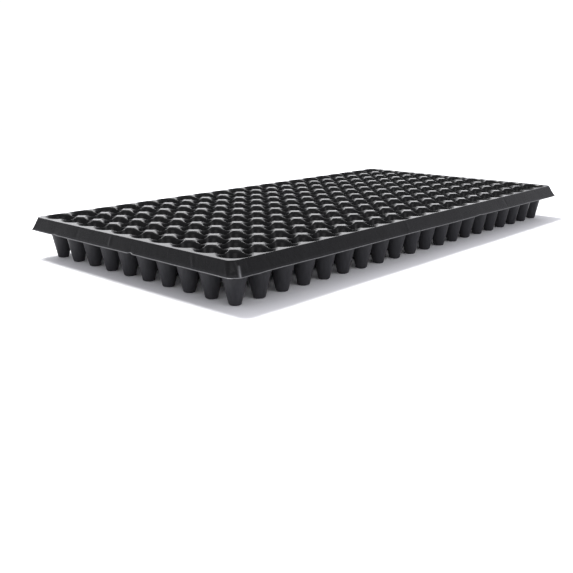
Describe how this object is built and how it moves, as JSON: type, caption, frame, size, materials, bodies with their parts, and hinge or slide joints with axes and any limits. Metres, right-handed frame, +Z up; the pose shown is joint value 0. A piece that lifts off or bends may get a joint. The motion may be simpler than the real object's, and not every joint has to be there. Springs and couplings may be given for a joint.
{
  "type": "plug tray",
  "caption": "Shallow black plastic plug tray: a close grid of tapered round cells with drain holes, flat webs between them, a narrow rim and a short flared skirt.",
  "frame": {"origin": "on the floor, under the centre of the tray", "axes": "+X along the long side, +Y along the short side, +Z up out of the cells' mouths"},
  "size_m": [0.54, 0.28, 0.039],
  "materials": {
    "tray_plastic": "satin black polystyrene sheet, semi-gloss on the flat deck"
  },
  "bodies": {
    "root": {"cell_row_01": "tray_plastic", "cell_row_02": "tray_plastic", "cell_row_03": "tray_plastic", "cell_row_04": "tray_plastic", "cell_row_05": "tray_plastic", "cell_row_06": "tray_plastic", "cell_row_07": "tray_plastic", "cell_row_08": "tray_plastic", "cell_row_09": "tray_plastic", "cell_row_10": "tray_plastic", "cell_row_11": "tray_plastic", "cell_row_12": "tray_plastic", "cell_row_13": "tray_plastic", "cell_row_14": "tray_plastic", "cell_row_15": "tray_plastic", "cell_row_16": "tray_plastic", "cell_row_17": "tray_plastic", "cell_row_18": "tray_plastic", "cell_row_19": "tray_plastic", "cell_row_20": "tray_plastic", "rim_front": "tray_plastic", "rim_back": "tray_plastic", "rim_left": "tray_plastic", "rim_right": "tray_plastic", "skirt_front": "tray_plastic", "skirt_back": "tray_plastic", "skirt_left": "tray_plastic", "skirt_right": "tray_plastic", "skirt_corner_front_left": "tray_plastic", "skirt_corner_front_right": "tray_plastic", "skirt_corner_back_left": "tray_plastic", "skirt_corner_back_right": "tray_plastic"}
  },
  "joints": []
}
